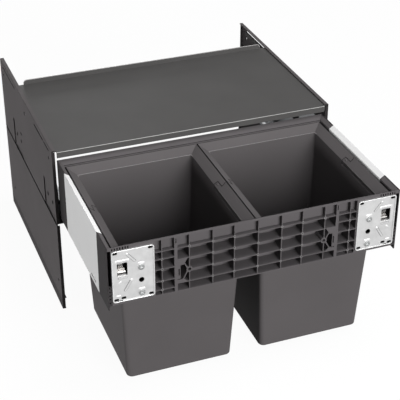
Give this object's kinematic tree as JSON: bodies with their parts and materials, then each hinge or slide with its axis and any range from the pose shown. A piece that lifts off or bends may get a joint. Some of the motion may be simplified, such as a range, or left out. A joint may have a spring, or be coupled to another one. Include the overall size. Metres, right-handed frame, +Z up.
{
  "type": "built-in recycling bin",
  "caption": "Pull-out recycling unit for a base cabinet: steel side panels with a cover shelf, a drawer frame on roller runners and hanging bins with bail handles.",
  "frame": {"origin": "centre of the bottom of the box round the whole unit with the drawer fully open", "axes": "+X to the right seen from the front, +Y to the rear of the cabinet, +Z up; the drawer opens towards -Y"},
  "size_m": [0.562, 0.758, 0.363],
  "materials": {
    "panel_grey": "powder-coated dark grey, satin",
    "shelf_grey": "powder-coated dark grey, satin",
    "galvanised": "zinc-plated sheet",
    "black_plastic": "matt black",
    "rail_steel": "zinc-plated steel",
    "cage_plastic": "matt dark grey",
    "roller_steel": "polished steel",
    "side_light": "powder-coated light grey, satin",
    "moulding_grey": "fine-grained dark grey",
    "plate_silver": "bright stamped metal",
    "lever_bright": "bright steel",
    "bin_grey": "smooth grey, slight sheen",
    "handle_grey": "smooth grey, slight sheen"
  },
  "bodies": {
    "cabinet": {"shelf": "shelf_grey", "side_panel_upper_left": "panel_grey", "side_panel_upper_right": "panel_grey", "side_panel_lower_left": "panel_grey", "side_panel_lower_right": "panel_grey", "runner_bracket_left": "galvanised", "runner_bracket_right": "galvanised", "bracket_cap_left": "black_plastic", "bracket_cap_right": "black_plastic", "cabinet_rail_left": "rail_steel", "cabinet_rail_right": "rail_steel"},
    "middle_rails": {"middle_rail_left": "rail_steel", "middle_rail_right": "rail_steel"},
    "lower_cages": {"lower_cage_left": "cage_plastic", "lower_cage_right": "cage_plastic", "lower_rollers_left": "roller_steel", "lower_rollers_right": "roller_steel"},
    "upper_cages": {"upper_cage_left": "cage_plastic", "upper_cage_right": "cage_plastic", "upper_rollers_left": "roller_steel", "upper_rollers_right": "roller_steel"},
    "drawer": {"front_panel": "moulding_grey", "rear_panel": "moulding_grey", "drawer_rail_left": "rail_steel", "drawer_rail_right": "rail_steel", "drawer_side_left": "side_light", "drawer_side_right": "side_light", "front_plate_left": "plate_silver", "front_plate_right": "plate_silver"},
    "bin_left_body": {"bin_left": "bin_grey"},
    "bin_right_body": {"bin_right": "bin_grey"},
    "handle_left_body": {"bin_handle_left": "handle_grey"},
    "handle_right_body": {"bin_handle_right": "handle_grey"},
    "lever_left_body": {"release_lever_left": "lever_bright"},
    "lever_right_body": {"release_lever_right": "lever_bright"}
  },
  "joints": [
    {"name": "drawer_slide", "type": "slide", "parent": "cabinet", "child": "drawer", "axis": [0, -1, 0], "range_m": [-0.31, 0]},
    {"name": "middle_slide", "type": "slide", "parent": "cabinet", "child": "middle_rails", "axis": [0, -1, 0], "range_m": [-0.155, 0]},
    {"name": "lower_cage_slide", "type": "slide", "parent": "cabinet", "child": "lower_cages", "axis": [0, -1, 0], "range_m": [-0.0775, 0]},
    {"name": "upper_cage_slide", "type": "slide", "parent": "cabinet", "child": "upper_cages", "axis": [0, -1, 0], "range_m": [-0.2325, 0]},
    {"name": "bin_left_lift", "type": "slide", "parent": "drawer", "child": "bin_left_body", "axis": [0, 0, 1], "range_m": [0, 0.33]},
    {"name": "handle_left_turn", "type": "hinge", "parent": "bin_left_body", "child": "handle_left_body", "pos_m": [-0.12938, -0.218, 0.3145], "axis": [-1, 0, 0], "range_deg": [0, 85]},
    {"name": "lever_left_press", "type": "hinge", "parent": "drawer", "child": "lever_left_body", "pos_m": [-0.245, -0.371, 0.27855], "axis": [-1, 0, 0], "range_deg": [0, 12], "stiffness_Nm_per_rad": 0.05},
    {"name": "bin_right_lift", "type": "slide", "parent": "drawer", "child": "bin_right_body", "axis": [0, 0, 1], "range_m": [0, 0.33]},
    {"name": "handle_right_turn", "type": "hinge", "parent": "bin_right_body", "child": "handle_right_body", "pos_m": [0.12938, -0.218, 0.3145], "axis": [-1, 0, 0], "range_deg": [0, 85]},
    {"name": "lever_right_press", "type": "hinge", "parent": "drawer", "child": "lever_right_body", "pos_m": [0.245, -0.371, 0.27855], "axis": [-1, 0, 0], "range_deg": [0, 12], "stiffness_Nm_per_rad": 0.05}
  ],
  "couplings": [
    {"joint": "middle_slide", "follows": "drawer_slide", "ratio": 0.5},
    {"joint": "lower_cage_slide", "follows": "drawer_slide", "ratio": 0.25},
    {"joint": "upper_cage_slide", "follows": "drawer_slide", "ratio": 0.75}
  ]
}
